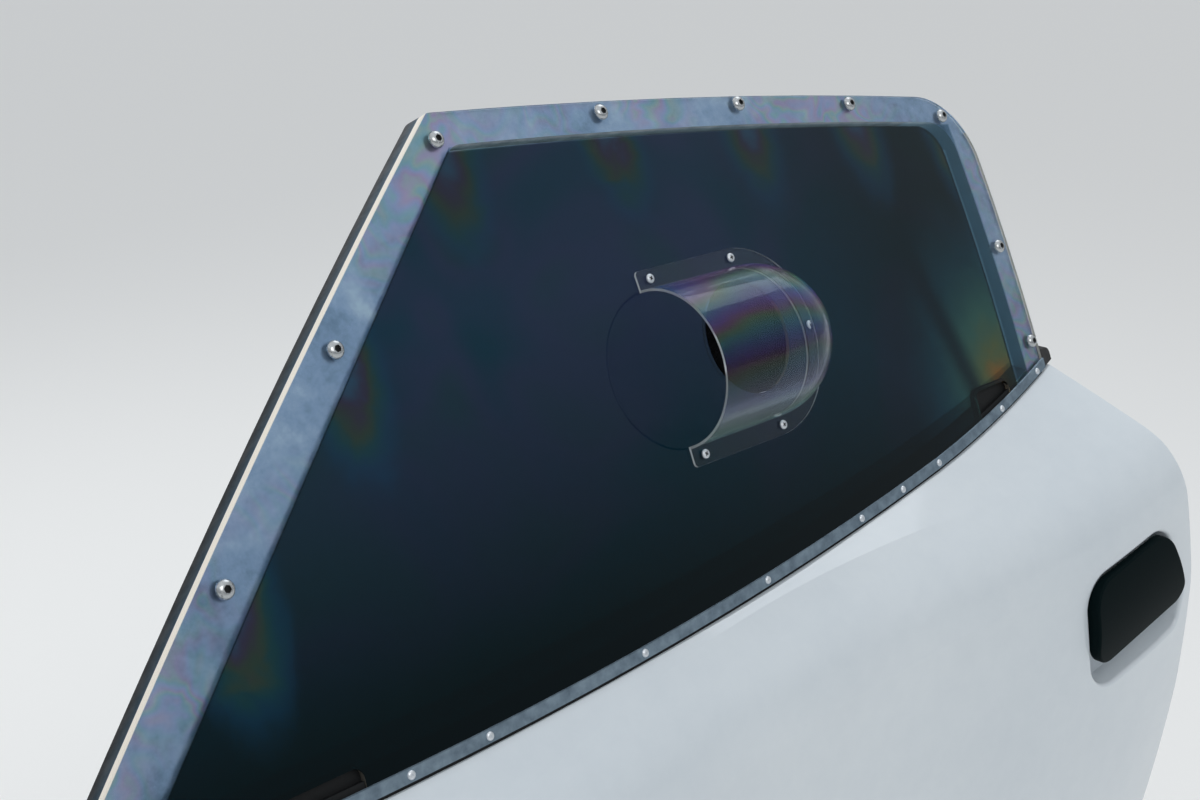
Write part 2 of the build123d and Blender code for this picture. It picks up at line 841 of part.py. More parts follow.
# Hinges
for name, side in (("lower", -1), ("upper", 1)):
    middle = side * hinge_spacing / 2
    with BuildPart() as post_leaf:
        with Locations((0, 0, middle)):
            Box(
                hinge_pad_length,
                hinge_leaf,
                hinge_pad_height,
                align=(Align.CENTER, Align.MIN, Align.CENTER),
            )
        fillet(post_leaf.edges().filter_by(Axis.Y), hinge_corner)
        with BuildSketch(Plane.XY.offset(middle - hinge_pad_height / 2)):
            with Locations((pin_x, pin_y)):
                Circle(knuckle_radius)
            with Locations((knuckle_root - hinge_pad_length / 2, knuckle_root)):
                Circle(knuckle_root)
            make_hull()
        extrude(amount=hinge_pad_height / 2 - knuckle_gap / 2)
        with BuildSketch(Plane.XY.offset(middle)):
            with Locations((pin_x, pin_y)):
                Circle(pin_diameter / 2)
        extrude(amount=hinge_pad_height, both=True, mode=Mode.SUBTRACT)
        with BuildSketch(Plane.XZ.offset(-hinge_leaf / 2)):
            with Locations((-hinge_bolt_spacing / 2, middle), (hinge_bolt_spacing / 2, middle)):
                Circle(hinge_bolt_diameter / 2)
        extrude(amount=hinge_leaf, both=True, mode=Mode.SUBTRACT)
    with BuildPart() as door_leaf:
        with Locations((jamb_x, door_leaf_y, middle)):
            Box(
                hinge_leaf,
                door_leaf_reach,
                hinge_pad_height,
                align=(Align.MIN, Align.MIN, Align.CENTER),
            )
        fillet(door_leaf.edges().filter_by(Axis.X), hinge_corner)
        with BuildSketch(Plane.XY.offset(middle + knuckle_gap / 2)):
            with Locations((pin_x, pin_y)):
                Circle(knuckle_radius)
            with Locations((jamb_x + knuckle_root, pin_y - door_knuckle_drop)):
                Circle(knuckle_root)
            make_hull()
        extrude(amount=hinge_pad_height / 2 - knuckle_gap / 2)
        with BuildSketch(Plane.XY.offset(middle)):
            with Locations((pin_x, pin_y)):
                Circle(pin_diameter / 2 + pin_clearance)
        extrude(amount=hinge_pad_height, both=True, mode=Mode.SUBTRACT)
    with BuildPart() as hinge_pin:
        with BuildSketch(Plane.XY.offset(middle - hinge_pad_height / 2 - pin_head)):
            with Locations((pin_x, pin_y)):
                Circle(pin_diameter / 2 + pin_head_rim)
        extrude(amount=pin_head)
        with BuildSketch(Plane.XY.offset(middle - hinge_pad_height / 2)):
            with Locations((pin_x, pin_y)):
                Circle(pin_diameter / 2)
        extrude(amount=hinge_pad_height + pin_end)
    for piece, label in (
        (post_leaf, "hinge_post_leaf_" + name),
        (door_leaf, "hinge_door_leaf_" + name),
        (hinge_pin, "hinge_pin_" + name),
    ):
        piece.part.label = label
        export_step(piece.part, "parts/" + label + ".step")

for piece, label in (
    (outer_skin, "outer_skin"),
    (inner_shell, "inner_shell"),
    (latch_case, "latch_case"),
    (latch_fork, "latch_fork"),
    (window_frame, "window_frame"),
    (window_pane, "window_pane"),
    (belt_strip, "belt_strip"),
    (air_scoop, "air_scoop"),
    (corner_block, "corner_block"),
    (handle_cup, "handle_cup"),
    (handle_flap, "handle_flap"),
    (door_seal, "door_seal"),
    (door_card, "door_card"),
    (pull_strap, "pull_strap"),
    (strap_anchors[0], "strap_anchor_rear"),
    (strap_anchors[1], "strap_anchor_front"),
    (release_bezel, "release_bezel"),
    (release_lever, "release_lever"),
    (mirror_shell, "mirror_shell"),
    (mirror_glass, "mirror_glass"),
    (mirror_foot, "mirror_foot"),
    (mirror_arm, "mirror_arm"),
):
    piece.part.label = label
    export_step(piece.part, "parts/" + label + ".step")
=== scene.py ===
import json
import math
import random

import bmesh
import bpy
from mathutils import Matrix, Vector


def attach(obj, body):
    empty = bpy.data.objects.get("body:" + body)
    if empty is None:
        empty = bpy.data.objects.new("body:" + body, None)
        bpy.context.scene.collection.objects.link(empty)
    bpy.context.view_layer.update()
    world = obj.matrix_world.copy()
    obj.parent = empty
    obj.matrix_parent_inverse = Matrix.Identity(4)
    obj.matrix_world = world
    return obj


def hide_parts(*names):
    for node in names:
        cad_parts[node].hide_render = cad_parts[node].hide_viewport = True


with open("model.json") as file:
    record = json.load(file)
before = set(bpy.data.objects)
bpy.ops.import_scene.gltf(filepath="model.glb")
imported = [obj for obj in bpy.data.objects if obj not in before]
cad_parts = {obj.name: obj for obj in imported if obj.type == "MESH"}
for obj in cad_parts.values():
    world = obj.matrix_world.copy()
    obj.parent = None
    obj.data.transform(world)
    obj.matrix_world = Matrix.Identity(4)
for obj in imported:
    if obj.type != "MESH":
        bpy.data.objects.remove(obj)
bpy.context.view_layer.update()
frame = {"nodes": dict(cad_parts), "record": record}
nodes = frame["nodes"]
random.seed(7)
mm = 0.001

# Camera at the photograph's viewing angle
camera = {
    "place": (0.31538, 0.85029, 0.84012),
    "right": (-0.70488, 0.70933, 0.0),
    "up": (-0.22720, -0.22577, 0.94732),
    "sensor": 36.0,
    "lens": 50.04,
    "clip": (0.01, 60.0),
}

# The pane is part of a cylinder that lies along the door. From the middle of the vent hole,
# u runs rearward and v upward in the plane that touches the cylinder there.
pane = {
    "vent": Vector((-0.745, -0.025, 0.435)),
    "tilt": math.radians(25.35),
    "radius": 2.5,
    "thickness": 0.005,
}
paneOut = Vector((0, math.cos(pane["tilt"]), math.sin(pane["tilt"])))
paneUp = Vector((0, -math.sin(pane["tilt"]), math.cos(pane["tilt"])))
paneAxis = pane["vent"] - paneOut * pane["radius"]

# Button heads through the pane into its frame, at u and v in mm
frameScrews = [
    (-542, -55), (-406, 76), (-256, 212), (-79, 213), (89.5, 201),
    (243, 183), (380, 154), (400, 11), (406.5, -91), (-680, -188),
]

# Belt line in side view, in metres
belt = {"frontZ": 0.2355, "bendX": -0.298, "midX": -0.949, "frontRadius": 4.6, "rearRadius": 1.334}


def beltZ(x):
    first = max(0.0, belt["bendX"] - x)
    second = max(0.0, belt["midX"] - x)
    extra = 1 / (2 * belt["rearRadius"]) - 1 / (2 * belt["frontRadius"])
    return belt["frontZ"] + first**2 / (2 * belt["frontRadius"]) + second**2 * extra


def paneSpot(u, v, rise=0.0):  # a point on the pane's outer face and its normal, u and v in mm
    across = v * mm
    sink = math.sqrt(pane["radius"] ** 2 - across**2) - pane["radius"]
    point = pane["vent"] + Vector((-u * mm, 0, 0)) + paneUp * across + paneOut * sink
    normal = (paneOut * (pane["radius"] + sink) + paneUp * across).normalized()
    return point + normal * rise, normal


def paneSpotAt(x, z, rise=0.0):  # the same from a place in side view
    y = paneAxis.y + math.sqrt(pane["radius"] ** 2 - (z - paneAxis.z) ** 2)
    normal = Vector((0, y - paneAxis.y, z - paneAxis.z)).normalized()
    return Vector((x, y, z)) + normal * rise, normal


class Wire:
    # A socket that can stand in an expression, which adds the Math nodes
    def __init__(self, graph, socket):
        self.graph = graph
        self.socket = socket

    def __add__(self, other):
        return self.graph.maths("ADD", self, other)

    def __radd__(self, other):
        return self.graph.maths("ADD", other, self)

    def __sub__(self, other):
        return self.graph.maths("SUBTRACT", self, other)

    def __rsub__(self, other):
        return self.graph.maths("SUBTRACT", other, self)

    def __mul__(self, other):
        return self.graph.maths("MULTIPLY", self, other)

    def __rmul__(self, other):
        return self.graph.maths("MULTIPLY", other, self)

    def __truediv__(self, other):
        return self.graph.maths("DIVIDE", self, other)

    def __rtruediv__(self, other):
        return self.graph.maths("DIVIDE", other, self)

    def __gt__(self, other):
        return self.graph.maths("GREATER_THAN", self, other)

    def __lt__(self, other):
        return self.graph.maths("LESS_THAN", self, other)


class Graph:
    # The nodes of a material or of the world
    def __init__(self, tree):
        self.tree = tree

    def feed(self, socket, value):
        if isinstance(value, Wire):
            self.tree.links.new(value.socket, socket)
        else:
            socket.default_value = value

    def node(self, kind, settings=None, inputs=None, out=0):
        made = self.tree.nodes.new("ShaderNode" + kind)
        for words, value in (settings or {}).items():
            if words == "stops":
                ramp = made.color_ramp.elements
                while len(ramp) < len(value):
                    ramp.new(0.5)
                for stop, (position, colour) in zip(ramp, value):
                    stop.position = position
                    stop.color = (*colour, 1)
            else:
                setattr(made, words, value)
        for words, value in (inputs or {}).items():
            self.feed(made.inputs[words], value)
        return Wire(self, made.outputs[out])

    def maths(self, operation, first, second=0.0):
        return self.node("Math", {"operation": operation}, {0: first, 1: second})

    def spread(self, value, low, high, toLow=0.0, toHigh=1.0):
        values = {0: value, 1: low, 2: high, 3: toLow, 4: toHigh}
        return self.node("MapRange", {"clamp": True}, values)

    def axis(self, letter, place):
        return self.node("SeparateXYZ", {}, {0: place}, out=letter)


class Finish(Graph):
    # A material with one Principled shader, whose constants are set by name
    def __init__(self, name, **constants):
        self.material = bpy.data.materials.new(name)
        self.material.use_nodes = True
        super().__init__(self.material.node_tree)
        self.shader = self.tree.nodes["Principled BSDF"]
        self.put(**constants)
        self.place = self.node("TexCoord", out="Object")

    def axis(self, letter, place=None):
        return super().axis(letter, place or self.place)

    def noise(self, scale, detail=3.0, roughness=0.5, place=None, distortion=0.0):
        values = {
            "Vector": place or self.place,
            "Scale": scale,
            "Detail": detail,
            "Roughness": roughness,
            "Distortion": distortion,
        }
        return self.node("TexNoise", {}, values)

    def stretch(self, scale):
        values = {"Vector": self.place, "Scale": scale}
        return self.node("Mapping", {"vector_type": "POINT"}, values)

    def blend(self, factor, low, high):
        values = {"Factor": factor, 6: low, 7: high}
        return self.node("Mix", {"data_type": "RGBA"}, values, out=2)

    def ramp(self, value, stops):
        return self.node("ValToRGB", {"stops": stops}, {"Fac": value})

    def put(self, **wires):
        for words, value in wires.items():
            self.feed(self.shader.inputs[words.replace("_", " ")], value)
        return self

    def over(self, mask, **values):  # a second shader shows where the mask is 1
        inputs = {words.replace("_", " "): value for words, value in values.items()}
        second = self.node("BsdfPrincipled", {}, inputs)
        first = Wire(self, self.shader.outputs[0])
        mixed = self.node("MixShader", {}, {0: mask, 1: first, 2: second})
        self.feed(self.tree.nodes["Material Output"].inputs[0], mixed)
        return self

    def bump(self, height, strength, distance):
        values = {"Height": height, "Strength": strength, "Distance": distance}
        return self.put(Normal=self.node("Bump", {}, values))


def rgb(red, green, blue):
    return (red, green, blue, 1.0)


# Painted outside: slow clouds and fine dust in the white
bodyPaint = {
    "low": rgb(0.60, 0.66, 0.71),
    "high": rgb(0.68, 0.735, 0.775),
    "clouds": 0.7,
    "dust": 0.3,
}


def bodyPaintFinish():
    finish = Finish("bodyPaint", Roughness=0.32, Coat_Weight=0.7, Coat_Roughness=0.07)
    clouds = finish.noise(3.0, 2.0)
    dust = finish.noise(45.0, 6.0, 0.65)
    tone = finish.spread(clouds * bodyPaint["clouds"] + dust * bodyPaint["dust"], 0.35, 0.7)
    finish.put(Base_Color=finish.blend(tone, bodyPaint["low"], bodyPaint["high"]))
    return finish.bump(finish.noise(900.0, 1.0), 0.05, 0.0004)


# Painted inside, with grime
innerPaint = {"clean": rgb(0.72, 0.75, 0.77), "grimy": rgb(0.50, 0.52, 0.53)}


def innerPaintFinish():
    finish = Finish("innerPaint", Roughness=0.5, Coat_Weight=0.2, Coat_Roughness=0.2)
    grime = finish.spread(finish.noise(14.0, 6.0, 0.7), 0.4, 0.75)
    finish.put(Base_Color=finish.blend(grime, innerPaint["clean"], innerPaint["grimy"]))
    return finish.bump(finish.noise(500.0, 2.0), 0.08, 0.0005)


def fromPaneAxis(finish):  # y and z from the axis of the pane's cylinder
    return finish.axis("Y") - paneAxis.y, finish.axis("Z") - paneAxis.z


def paneRadius(finish):  # distance from that axis
    y, z = fromPaneAxis(finish)
    return finish.maths("SQRT", y * y + z * z)


def paneCoordinates(finish):  # u and v in metres
    x, y, z = finish.axis("X"), finish.axis("Y"), finish.axis("Z")
    vent = pane["vent"]
    return (x - vent.x) * -1.0, (y - vent.y) * paneUp.y + (z - vent.z) * paneUp.z


# 1 on faces that stand across the pane's surface, such as sawn edges and hole walls
def sawnMask(finish):
    y, z = fromPaneAxis(finish)
    radial = finish.node("CombineXYZ", {}, {0: 0.0, 1: y, 2: z})
    radial = finish.node("VectorMath", {"operation": "NORMALIZE"}, {0: radial})
    normal = finish.node("NewGeometry", out="True Normal")
    both = {0: radial, 1: normal}
    turned = finish.node("VectorMath", {"operation": "DOT_PRODUCT"}, both, out="Value")
    return finish.maths("ABSOLUTE", turned) < 0.5


# Bare metal with a shimmer on its face. The channel's flanks carry painted shade, darker with
# depth, with a painted highlight near their top, and behind wallX the wall that shows through the
# pane is painted lighter.
frameMetal = {
    "bare": (
        (0.0, (0.19, 0.30, 0.44)),
        (0.45, (0.36, 0.50, 0.72)),
        (0.7, (0.46, 0.60, 0.80)),
        (1.0, (0.62, 0.78, 0.92)),
    ),
    "shimmer": (
        (0.0, (0.62, 0.36, 0.60)),
        (0.3, (0.44, 0.44, 0.76)),
        (0.55, (0.26, 0.56, 0.56)),
        (0.75, (0.46, 0.60, 0.44)),
        (1.0, (0.62, 0.36, 0.60)),
    ),
    "shimmerBands": 7.0,
    "shimmerShare": 0.6,
    "flankRadii": (2.481, 2.495),
    "flankPaintedShade": rgb(0.004, 0.006, 0.008),
    "flankPaintedHighlight": rgb(0.010, 0.050, 0.085),
    "wallX": -1.07,
    "wall": rgb(0.05, 0.135, 0.20),
}


def frameMetalFinish():
    finish = Finish("frameMetal", Metallic=0.85, Roughness=0.4)
    wide = finish.noise(14.0, 4.0, 0.6, distortion=0.6)
    fine = finish.noise(70.0, 5.0, 0.7)
    bare = finish.ramp(finish.spread(wide * 0.6 + fine * 0.4, 0.36, 0.66), frameMetal["bare"])
    hue = finish.noise(20.0, 2.0, distortion=0.5)
    bands = finish.maths("FRACT", hue * frameMetal["shimmerBands"])
    shimmer = finish.ramp(bands, frameMetal["shimmer"])
    patches = finish.spread(finish.noise(11.0, 2.0), 0.42, 0.66)
    face = finish.blend(patches * frameMetal["shimmerShare"], bare, shimmer)
    # painted shade on the flanks: near black deep in the channel, a painted highlight at the top,
    # lighter behind wallX
    height = finish.spread(paneRadius(finish), *frameMetal["flankRadii"])
    flank = finish.blend(height, frameMetal["flankPaintedShade"], frameMetal["flankPaintedHighlight"])
    flank = finish.blend(finish.axis("X") < frameMetal["wallX"], flank, frameMetal["wall"])
    finish.put(
        Base_Color=finish.blend(sawnMask(finish), face, flank),
        Roughness=finish.spread(fine, 0.3, 0.7, 0.28, 0.55),
    )
    return finish.bump(fine, 0.15, 0.0006)


# The pane is painted dark inside the frame's edge, painted shade of the dark space behind it, paler
# in the margin beside that, and clear over the frame. Places are u and v in metres, and a bow is
# how far an edge bulges outward.
paneShade = {
    "lowFront": (-0.692, -0.245),
    "topFront": (-0.240, 0.2065),
    "topRear": (0.3895, 0.1467),
    "frontBow": 0.0055,
    "topBow": 0.007,
    "rearRound": 0.03,
    "rearClear": 0.026,
    "frontClear": 0.0032,
    "topClear": 0.0046,
    "innerShift": (0.0023, -0.00034),
    "fade": 0.0012,
    "marginEdge": 0.0025,
    "lipWidth": 0.0026,
    "clear": rgb(0.86, 0.90, 0.92),
    "pale": rgb(0.34, 0.48, 0.54),
}

# Colours of the pane's painted shade, deeper towards the belt and the rear
shadeTones = {
    "base": (
        (0.30, (0.006, 0.026, 0.056)),
        (0.45, (0.003, 0.026, 0.048)),
        (0.55, (0.016, 0.024, 0.060)),
        (0.64, (0.008, 0.030, 0.042)),
        (0.75, (0.002, 0.014, 0.030)),
    ),
    "deep": rgb(0.0, 0.003, 0.004),
    "lowV": (-0.17, 0.08),
    "rearU": (0.0, 0.25),
    "rearShare": 0.85,
}

# Stress colours round each of the frame's screws, drawn out up and down
screwStress = {
    "colours": (
        (0.10, (0.003, 0.020, 0.040)),
        (0.28, (0.004, 0.034, 0.075)),
        (0.42, (0.006, 0.040, 0.046)),
        (0.54, (0.022, 0.036, 0.022)),
        (0.66, (0.026, 0.018, 0.040)),
        (0.80, (0.020, 0.050, 0.090)),
    ),
    "reach": 0.08,
    "acrossShare": 2.5,
    "upShare": 0.4,
}

# Stress colours that fan out above the rear notch, with a dark line through them
notchFan = {
    "colours": (
        (0.05, (0.170, 0.080, 0.015)),
        (0.15, (0.075, 0.105, 0.045)),
        (0.32, (0.036, 0.115, 0.095)),
        (0.60, (0.008, 0.060, 0.090)),
        (1.0, (0.003, 0.020, 0.040)),
    ),
    "u": 0.342,
    "v": -0.118,
    "reach": 0.17,
    "middle": 0.02,
    "upShare": 0.6,
    "lean": 0.3,
    "line": 0.047,
    "lineWidth": (0.004, 0.022),
    "lineLight": 0.15,
}

# The frosted line along the pane's front edge, a painted highlight, and its frosted sawn edges,
# also painted as lit: faces that look further down than lowestNormal stay clear, unlit
paneRim = {
    "low": (-0.746, -0.245),
    "top": (-0.258, 0.234),
    "bow": 0.0122,
    "width": 0.0016,
    "outside": 0.012,
    "innerShare": 0.1,
    "outerShare": 0.85,
    "lowestNormal": -0.4,
    "colour": rgb(0.92, 0.86, 0.76),
}


def edgeDistance(u, v, start, end, bow):  # how far u and v lie inside a bowed edge
    run = Vector((end[0] - start[0], end[1] - start[1]))
    along = run.normalized()
    inward = Vector((along.y, -along.x))
    across = u * inward.x + v * inward.y - (start[0] * inward.x + start[1] * inward.y)
    place = u * along.x + v * along.y - (start[0] * along.x + start[1] * along.y)
    part = place * (2 / run.length) - 1.0
    return across + (1.0 - part * part) * bow


# painted shade of the dark space behind the pane, with stress colours round the screws and above
# the rear notch
def shadeAndStressTint(finish, u, v):
    base = finish.ramp(finish.noise(3.6, 2.0, 0.5, distortion=0.8), shadeTones["base"])
    low = finish.spread(v, *shadeTones["lowV"], 1.0, 0.0)
    rear = finish.spread(u, *shadeTones["rearU"], 0.0, shadeTones["rearShare"])
    base = finish.blend(finish.maths("MAXIMUM", low, rear), base, shadeTones["deep"])

    near = 0.0
    for screwU, screwV in frameScrews:
        du, dv = u - screwU * mm, v - screwV * mm
        drawn = du * du * screwStress["acrossShare"] + dv * dv * screwStress["upShare"]
        reach = finish.maths("SQRT", drawn) / screwStress["reach"]
        near = finish.maths("MAXIMUM", near, 1.0 - reach)
    broken = finish.noise(22.0, 3.0, 0.6, distortion=1.5)
    stress = finish.ramp(near + broken * 0.5 - 0.25, screwStress["colours"])
    tint = finish.blend(finish.spread(near * (0.4 + broken), 0.05, 0.5), base, stress)

    fanU, fanV = u - notchFan["u"], v - notchFan["v"]
    reach = finish.maths("SQRT", fanU * fanU + fanV * fanV * notchFan["upShare"])
    line = finish.maths("ABSOLUTE", fanU + fanV * notchFan["lean"] + notchFan["line"])
    glow = finish.spread(reach + broken * 0.03, notchFan["reach"], notchFan["middle"])
    glow = glow * finish.spread(line, *notchFan["lineWidth"], notchFan["lineLight"], 1.0)
    fan = finish.ramp(reach / notchFan["reach"] + broken * 0.2 - 0.1, notchFan["colours"])
    return finish.blend(glow, tint, fan)


def clearPaneFinish():
    finish = Finish(
        "clearPane", Roughness=0.015, IOR=1.33, Transmission_Weight=1.0,
        Specular_IOR_Level=0.22, Specular_Tint=rgb(0.5, 0.85, 1.0),
    )
    u, v = paneCoordinates(finish)
    # the painted shade on the inner face is moved along the view, so that both edges fall together
    inner = paneRadius(finish) < pane["radius"] - pane["thickness"] / 2
    shiftU, shiftV = paneShade["innerShift"]
    maskU, maskV = u - inner * shiftU, v - inner * shiftV
    front = paneShade["frontClear"] + edgeDistance(
        maskU, maskV, paneShade["lowFront"], paneShade["topFront"], paneShade["frontBow"]
    )
    top = edgeDistance(maskU, maskV, paneShade["topFront"], paneShade["topRear"], paneShade["topBow"])
    rear = paneShade["topRear"][0] - paneShade["rearClear"] - maskU
    topShort = finish.maths("MAXIMUM", paneShade["rearRound"] + paneShade["topClear"] - top, 0.0)
    rearShort = finish.maths("MAXIMUM", paneShade["rearRound"] - rear, 0.0)
    corner = paneShade["rearRound"] - finish.maths("SQRT", topShort * topShort + rearShort * rearShort)
    inside = finish.maths("MINIMUM", front, corner)

    margin = (maskU < paneShade["topRear"][0] - paneShade["marginEdge"]) * (top > paneShade["marginEdge"])
    margin = margin * (front > 0.0)
    lip = (inside > -paneShade["lipWidth"]) * (top > paneShade["rearRound"])  # clear over the frame's lip
    clear = finish.blend(margin * (1.0 - lip), paneShade["clear"], paneShade["pale"])
    dark = finish.spread(inside, 0.0, paneShade["fade"])
    finish.put(Base_Color=finish.blend(dark, clear, shadeAndStressTint(finish, u, v)))

    rim = edgeDistance(u, v, paneRim["low"], paneRim["top"], paneRim["bow"]) < paneRim["width"]
    outer = inside < -paneRim["outside"]
    sawn = sawnMask(finish) * (paneRim["innerShare"] + outer * paneRim["outerShare"])
    facing = finish.axis("Z", finish.node("NewGeometry", out="True Normal"))
    # frosted edges and the painted highlight, kept off faces that look down
    milkyAndHighlight = finish.maths("MAXIMUM", sawn, rim) * (facing > paneRim["lowestNormal"])
    return finish.over(milkyAndHighlight, Base_Color=paneRim["colour"], Roughness=0.4)


# The clear scoop has stress colours in bands across its dome, a pale band of painted light low
# down, and frosted rims round its flange and mouth, painted pale as edge highlights
scoopFilm = {
    "colours": (
        (0.0, (0.06, 0.20, 0.80)),
        (0.25, (0.02, 0.50, 0.60)),
        (0.42, (0.16, 0.45, 0.16)),
        (0.6, (0.40, 0.10, 0.40)),
        (0.8, (0.22, 0.10, 0.80)),
        (1.0, (0.06, 0.20, 0.80)),
    ),
    "bands": 30.0,
    "swirl": 2.4,
    "highV": (-0.03, 0.03),
    "strength": (0.02, 0.08),
    "lowV": (-0.045, -0.058),
    "lowStrength": 0.15,
    "lowGain": 5.3,
    "lowPaintedLight": rgb(0.44, 0.64, 0.60),
    "domeRadii": (2.504, 2.512),
    "flange": 0.0022,
    "flangeShare": 0.8,
    "mouthX": -0.66,
    "mouthShare": 0.5,
    "rim": rgb(0.62, 0.66, 0.68),
}


def clearScoopFinish():
    finish = Finish(
        "clearScoop", Roughness=0.02, IOR=1.2, Transmission_Weight=1.0,
        Specular_IOR_Level=0.1, Base_Color=rgb(0.93, 0.95, 0.96),
    )
    v = paneCoordinates(finish)[1]
    height = paneRadius(finish)
    flange = sawnMask(finish) * (height < pane["radius"] + scoopFilm["flange"])
    normalX = finish.axis("X", finish.node("NewGeometry", out="True Normal"))
    forward = finish.maths("ABSOLUTE", normalX) > 0.97
    mouth = forward * (finish.axis("X") > scoopFilm["mouthX"])
    rim = finish.maths("MAXIMUM", flange, mouth)
    swirl = finish.noise(8.0, 2.0, distortion=0.4)
    bands = finish.maths("FRACT", v * scoopFilm["bands"] + swirl * scoopFilm["swirl"])
    film = finish.ramp(bands, scoopFilm["colours"])
    # the pale band low on the dome is painted light
    low = finish.spread(v, *scoopFilm["lowV"], 0.0, scoopFilm["lowStrength"])
    film = finish.blend(low * scoopFilm["lowGain"], film, scoopFilm["lowPaintedLight"])
    high = finish.spread(v, *scoopFilm["highV"], *scoopFilm["strength"])
    strength = finish.maths("MAXIMUM", low, high)
    strength = strength * finish.spread(height, *scoopFilm["domeRadii"])
    milkyAndHighlight = finish.maths(
        "MAXIMUM", flange * scoopFilm["flangeShare"], mouth * scoopFilm["mouthShare"]
    )
    return finish.over(
        finish.maths("MAXIMUM", strength, milkyAndHighlight),
        Base_Color=finish.blend(rim, film, scoopFilm["rim"]), Roughness=0.3,
    )


# Two-tone finishes of metals that wear or are brushed: noise, how it spreads, and colours
wornMetals = {
    "steelHead": {
        "shader": {"Metallic": 1.0, "Roughness": 0.22},
        "noise": (420.0, 3.0, 0.6),
        "low": rgb(0.38, 0.40, 0.41),
        "high": rgb(0.60, 0.62, 0.63),
        "roughness": (0.14, 0.3),
        "bump": (0.08, 0.0002),
    },
    "stripMetal": {
        "shader": {"Metallic": 0.6, "Roughness": 0.38},
        "noise": (90.0, 4.0, 0.6),
        "spread": (0.3, 0.7),
        "low": rgb(0.12, 0.17, 0.22),
        "high": rgb(0.24, 0.32, 0.39),
        "bump": (0.1, 0.0004),
    },
    "hingeSteel": {
        "shader": {"Metallic": 0.9, "Roughness": 0.42},
        "noise": (60.0, 5.0, 0.7),
        "stretch": (1.0, 1.0, 14.0),
        "spread": (0.3, 0.7),
        "low": rgb(0.32, 0.31, 0.28),
        "high": rgb(0.52, 0.51, 0.48),
        "roughness": (0.32, 0.5),
        "bump": (0.1, 0.0003),
    },
    "pinSteel": {
        "shader": {"Metallic": 1.0, "Roughness": 0.25},
        "noise": (300.0, 2.0, 0.5),
        "stretch": (1.0, 1.0, 12.0),
        "low": rgb(0.5, 0.5, 0.5),
        "high": rgb(0.68, 0.68, 0.69),
    },
    "leverMetal": {
        "shader": {"Metallic": 0.9, "Roughness": 0.45},
        "noise": (900.0, 3.0),
        "low": rgb(0.45, 0.46, 0.48),
        "high": rgb(0.62, 0.63, 0.65),
        "bump": (0.25, 0.0003),
    },
    "zincHead": {
        "shader": {"Metallic": 0.8, "Roughness": 0.35},
        "noise": (600.0, 3.0, 0.6),
        "low": rgb(0.62, 0.66, 0.70),
        "high": rgb(0.82, 0.86, 0.90),
    },
}

# The same for rubber and plastic, and for a near-black that is painted shade
darkGrains = {
    "sealRubber": {
        "shader": {"Roughness": 0.75},
        "noise": (260.0, 3.0),
        "low": rgb(0.012, 0.012, 0.013),
        "high": rgb(0.035, 0.035, 0.036),
        "bump": (0.3, 0.0006),
    },
    "handlePlastic": {
        "shader": {"Roughness": 0.5, "IOR": 1.2, "Specular_IOR_Level": 0.15},
        "noise": (700.0, 2.0),
        "low": rgb(0.001, 0.004, 0.005),
        "high": rgb(0.003, 0.009, 0.010),
        "bump": (0.25, 0.0003),
    },
    "trimPlastic": {
        "shader": {"Roughness": 0.5},
        "noise": (500.0, 2.0),
        "low": rgb(0.018, 0.018, 0.020),
        "high": rgb(0.035, 0.035, 0.038),
        "bump": (0.3, 0.0004),
    },
    # near-black painted shade, set in screw sockets, in the pane's notches and in the belt groove
    "shadeStandIn": {
        "shader": {"Roughness": 0.6, "Specular_IOR_Level": 0.2},
        "noise": (500.0,),
        "low": rgb(0.004, 0.005, 0.006),
        "high": rgb(0.012, 0.013, 0.014),
    },
}


def grainFinish(table, name):
    values = table[name]
    finish = Finish(name, **values["shader"])
    place = finish.stretch(values["stretch"]) if "stretch" in values else None
    grain = finish.noise(*values["noise"], place=place)
    tone = finish.spread(grain, *values["spread"]) if "spread" in values else grain
    finish.put(Base_Color=finish.blend(tone, values["low"], values["high"]))
    if "roughness" in values:
        finish.put(Roughness=finish.spread(grain, 0.3, 0.7, *values["roughness"]))
    if "bump" in values:
        finish.bump(grain, *values["bump"])
    return finish


# Near-black cells of the plug in the vent hole, painted shade of the dark seen through the hole
ventShadeCells = {"cells": 520.0, "low": rgb(0.0, 0.0, 0.0), "high": rgb(0.003, 0.003, 0.004)}


def ventShadeFinish():
    finish = Finish("ventShadePlug", Roughness=0.95, Specular_IOR_Level=0.05)
    cells = finish.node("TexVoronoi", {}, {"Vector": finish.place, "Scale": ventShadeCells["cells"]})
    finish.put(Base_Color=finish.blend(cells, ventShadeCells["low"], ventShadeCells["high"]))
    return finish.bump(cells, 0.8, 0.0012)


# Twill of the card and the mirror, with the width of a tow in metres
carbon = {"tow": 0.0022, "low": rgb(0.012, 0.013, 0.015), "high": rgb(0.055, 0.058, 0.064)}


def carbonFinish(name):
    finish = Finish(name, Roughness=0.35, Coat_Weight=1.0, Coat_Roughness=0.05)
    x, z = finish.axis("X"), finish.axis("Z")
    wave = finish.maths("SINE", (x + z) * (math.pi / carbon["tow"]))
    cross = finish.maths("SINE", (x - z) * (math.pi / carbon["tow"]))
    weave = finish.spread(wave * cross, -0.4, 0.4)
    finish.put(Base_Color=finish.blend(weave, carbon["low"], carbon["high"]))
    return finish.bump(weave, 0.15, 0.0003)


# Woven webbing of the strap: ribs that lean, crossed by fine cords
webbing = {
    "ribs": (2600.0, 900.0),
    "cords": 3200.0,
    "low": rgb(0.22, 0.012, 0.012),
    "high": rgb(0.48, 0.03, 0.028),
}


